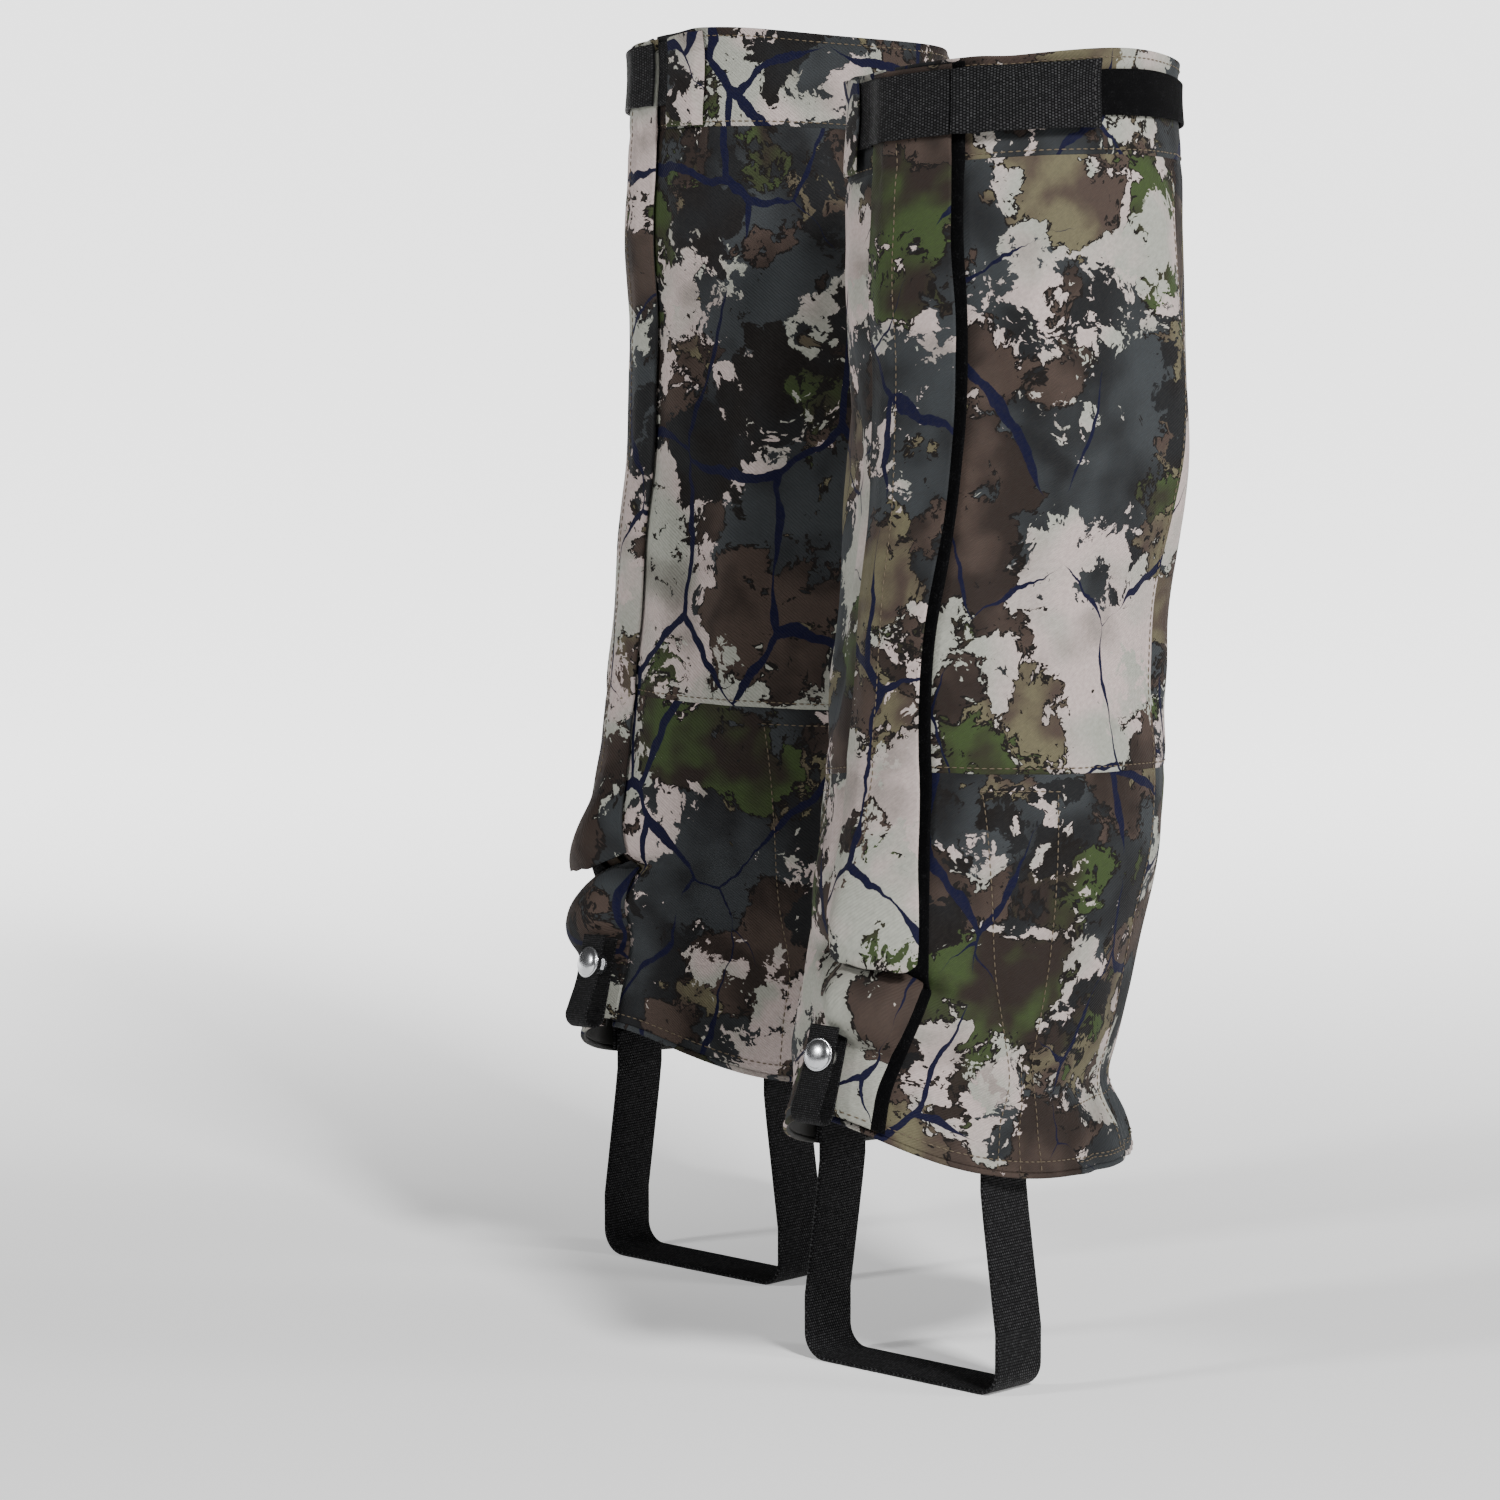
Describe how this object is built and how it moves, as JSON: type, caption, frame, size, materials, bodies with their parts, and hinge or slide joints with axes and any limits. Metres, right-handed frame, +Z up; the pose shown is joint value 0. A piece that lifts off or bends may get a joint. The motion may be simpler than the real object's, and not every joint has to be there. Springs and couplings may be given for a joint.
{
  "type": "pair of knee-high gaiters",
  "caption": "Pair of knee-high cloth gaiters shaped as worn: hook-and-loop storm flap at the front, top strap, press-stud lace loop at the instep and strap under the boot.",
  "frame": {"origin": "on the floor, in the middle of the pair's bounding box", "axes": "+Z up, -Y where the toes point, +X the wearer's left"},
  "size_m": [0.3176, 0.2676, 0.4955],
  "materials": {
    "camo_cloth": "brushed twill printed with a broken leaf-litter camouflage",
    "hook_and_loop": "fuzzy black hook-and-loop tape",
    "webbing": "ribbed black webbing",
    "ribbon": "fine black grosgrain ribbon",
    "elastic": "flat covered elastic",
    "nickel": "satin nickel plate"
  },
  "bodies": {
    "left_shell": {"left_cuff": "camo_cloth", "left_upper_lateral_panel": "camo_cloth", "left_upper_medial_panel": "camo_cloth", "left_lower_lateral_panel": "camo_cloth", "left_lower_medial_panel": "camo_cloth", "left_hem_roll": "camo_cloth", "left_strap_anchor_lateral": "webbing", "left_strap_anchor_medial": "webbing", "left_ankle_elastic": "elastic", "left_front_loop_tape": "hook_and_loop", "left_cuff_loop_tape": "hook_and_loop", "left_top_strap_root": "webbing", "left_strap_facing": "camo_cloth"},
    "left_storm_flap": {"left_storm_flap": "camo_cloth", "left_flap_hook_tape": "hook_and_loop", "left_top_strap_bridge": "webbing"},
    "left_strap_tail": {"left_top_strap_tail": "webbing", "left_strap_hook_patch": "hook_and_loop"},
    "left_toe_flap": {"left_toe_flap": "camo_cloth", "left_toe_hook_tape": "hook_and_loop", "left_lace_ribbon_inner": "ribbon", "left_press_stud": "nickel"},
    "left_lace_loop": {"left_lace_ribbon_outer": "ribbon", "left_press_socket": "nickel", "left_press_stud_cap": "nickel"},
    "left_underfoot": {"left_underfoot_strap": "webbing"},
    "right_shell": {"right_cuff": "camo_cloth", "right_upper_lateral_panel": "camo_cloth", "right_upper_medial_panel": "camo_cloth", "right_lower_lateral_panel": "camo_cloth", "right_lower_medial_panel": "camo_cloth", "right_hem_roll": "camo_cloth", "right_strap_anchor_lateral": "webbing", "right_strap_anchor_medial": "webbing", "right_ankle_elastic": "elastic", "right_front_loop_tape": "hook_and_loop", "right_cuff_loop_tape": "hook_and_loop", "right_top_strap_root": "webbing", "right_strap_facing": "camo_cloth"},
    "right_storm_flap": {"right_storm_flap": "camo_cloth", "right_flap_hook_tape": "hook_and_loop", "right_top_strap_bridge": "webbing"},
    "right_strap_tail": {"right_top_strap_tail": "webbing", "right_strap_hook_patch": "hook_and_loop"},
    "right_toe_flap": {"right_toe_flap": "camo_cloth", "right_toe_hook_tape": "hook_and_loop", "right_lace_ribbon_inner": "ribbon", "right_press_stud": "nickel"},
    "right_lace_loop": {"right_lace_ribbon_outer": "ribbon", "right_press_socket": "nickel", "right_press_stud_cap": "nickel"},
    "right_underfoot": {"right_underfoot_strap": "webbing"}
  },
  "joints": [
    {"name": "left_storm_flap_open", "type": "hinge", "parent": "left_shell", "child": "left_storm_flap", "pos_m": [0.07949, -0.10084, 0.17379], "axis": [0.0198, -0.0895, -0.9958], "range_deg": [0, 100]},
    {"name": "left_strap_peel", "type": "hinge", "parent": "left_storm_flap", "child": "left_strap_tail", "pos_m": [0.12034, -0.0753, 0.46561], "axis": [0.032, -0.0639, -0.9974], "range_deg": [0, 85]},
    {"name": "left_toe_flap_open", "type": "hinge", "parent": "left_shell", "child": "left_toe_flap", "pos_m": [0.08948, -0.12087, 0.10835], "axis": [0.0856, -0.2871, -0.9541], "range_deg": [0, 75]},
    {"name": "left_lace_loop_open", "type": "hinge", "parent": "left_toe_flap", "child": "left_lace_loop", "pos_m": [0.09974, -0.12651, 0.10711], "axis": [0.9943, 0.105, -0.018], "range_deg": [0, 85]},
    {"name": "left_underfoot_swing", "type": "hinge", "parent": "left_shell", "child": "left_underfoot", "pos_m": [0.0943, -0.06223, 0.089], "axis": [1, 0, 0], "range_deg": [-15, 15]},
    {"name": "right_storm_flap_open", "type": "hinge", "parent": "right_shell", "child": "right_storm_flap", "pos_m": [-0.09487, -0.02269, 0.1757], "axis": [-0.0393, 0.0889, 0.9953], "range_deg": [0, 100]},
    {"name": "right_strap_peel", "type": "hinge", "parent": "right_storm_flap", "child": "right_strap_tail", "pos_m": [-0.14819, 0.02918, 0.45811], "axis": [0.0706, 0.0345, 0.9969], "range_deg": [0, 85]},
    {"name": "right_toe_flap_open", "type": "hinge", "parent": "right_shell", "child": "right_toe_flap", "pos_m": [-0.08688, -0.04087, 0.10835], "axis": [-0.1394, 0.2679, 0.9533], "range_deg": [0, 75]},
    {"name": "right_lace_loop_open", "type": "hinge", "parent": "right_toe_flap", "child": "right_lace_loop", "pos_m": [-0.09702, -0.04649, 0.10722], "axis": [0.9894, -0.1229, 0.077], "range_deg": [0, 85]},
    {"name": "right_underfoot_swing", "type": "hinge", "parent": "right_shell", "child": "right_underfoot", "pos_m": [-0.0917, 0.01777, 0.089], "axis": [1, 0, 0], "range_deg": [-15, 15]},
    {"name": "right_gaiter_lift", "type": "slide", "parent": "left_shell", "child": "right_shell", "axis": [0, 0, 1], "range_m": [0, 0.5]}
  ]
}
